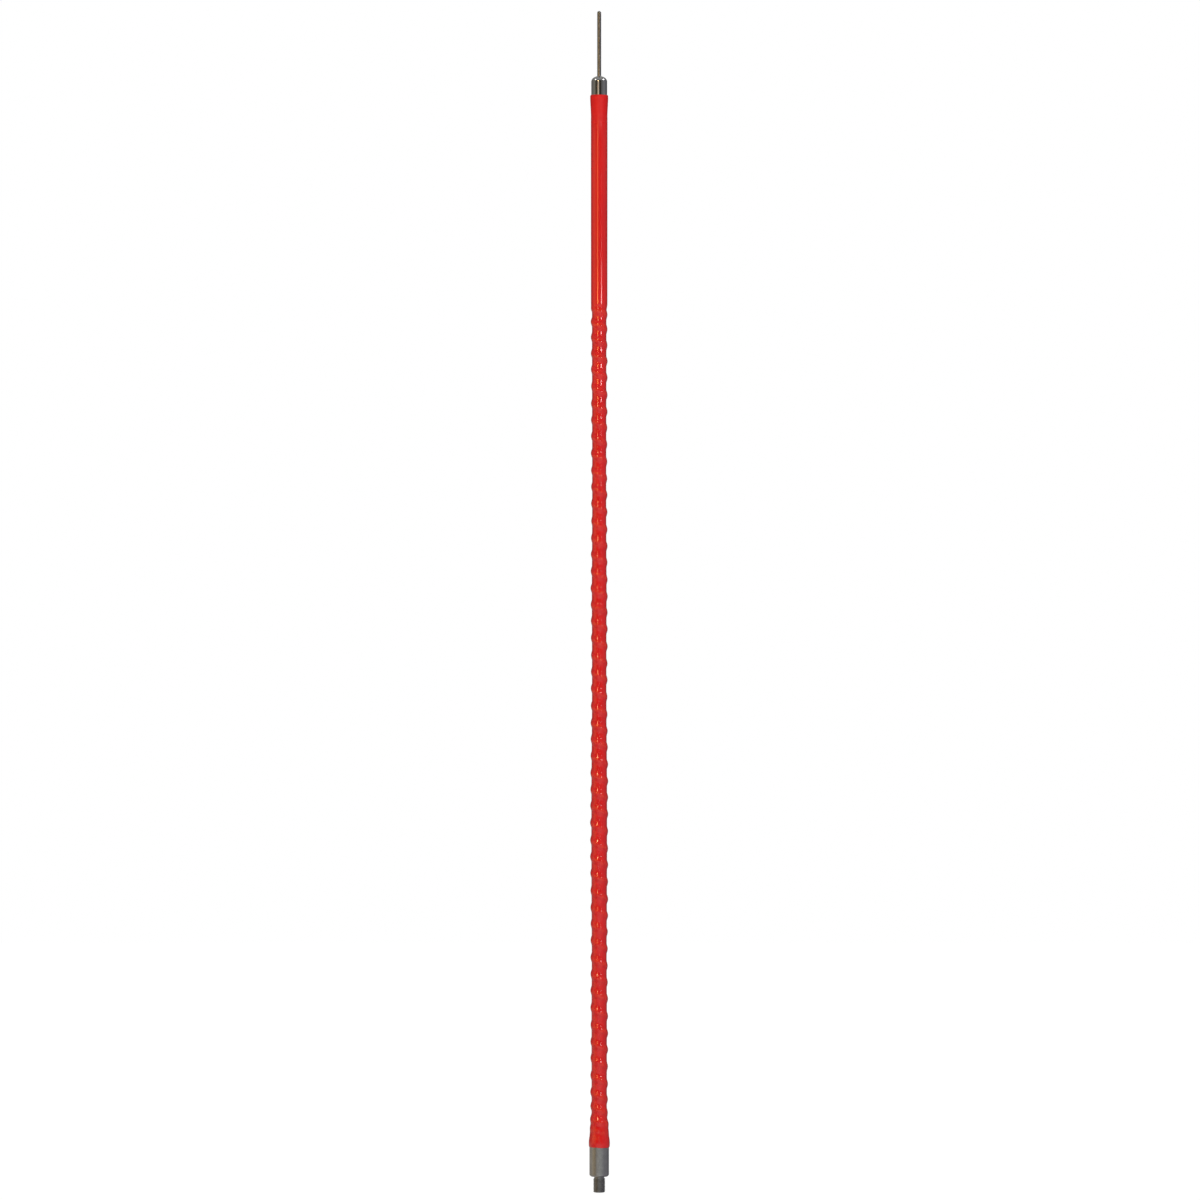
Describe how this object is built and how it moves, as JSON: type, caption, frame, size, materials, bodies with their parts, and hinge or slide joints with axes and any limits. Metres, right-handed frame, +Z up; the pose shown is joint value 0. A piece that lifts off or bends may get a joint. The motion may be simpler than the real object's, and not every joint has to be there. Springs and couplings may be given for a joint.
{
  "type": "loaded fibreglass whip antenna",
  "caption": "Slim upright vehicle whip antenna: red vinyl jacket with a spiral wire ridge, domed metal top ferrule with a thin steel tuning whip, and a threaded base ferrule.",
  "frame": {"origin": "centre of the lower end face of the threaded stud", "axes": "+Z up the antenna's axis towards the whip's tip, +Y towards the back, where the set screw is, -Y towards the viewer"},
  "size_m": [0.0172, 0.0172, 0.9446],
  "materials": {
    "red_vinyl": "glossy",
    "satin_nickel_plate": "satin",
    "bright_chrome": "polished",
    "stainless_steel": "drawn",
    "black_steel": "black oxide",
    "fibreglass": "satin",
    "enamelled_copper": "glossy",
    "solder": "satin",
    "epoxy": "glossy"
  },
  "bodies": {
    "antenna": {"base_ferrule": "satin_nickel_plate", "fibreglass_rod": "fibreglass", "base_epoxy_bond": "epoxy", "top_epoxy_bond": "epoxy", "open_winding": "enamelled_copper", "loading_coil": "enamelled_copper", "base_solder_joint": "solder", "top_solder_joint": "solder", "top_ferrule": "bright_chrome", "vinyl_jacket": "red_vinyl"},
    "whip": {"tuning_whip": "stainless_steel"},
    "clamp_screw": {"set_screw": "black_steel"}
  },
  "joints": [
    {"name": "whip_slide", "type": "slide", "parent": "antenna", "child": "whip", "axis": [0, 0, 1], "range_m": [-0.04, 0.03]},
    {"name": "set_screw_turn", "type": "hinge", "parent": "antenna", "child": "clamp_screw", "pos_m": [0, 0.00189, 0.88292], "axis": [0, 1, 0], "range_deg": [0, 720]}
  ]
}
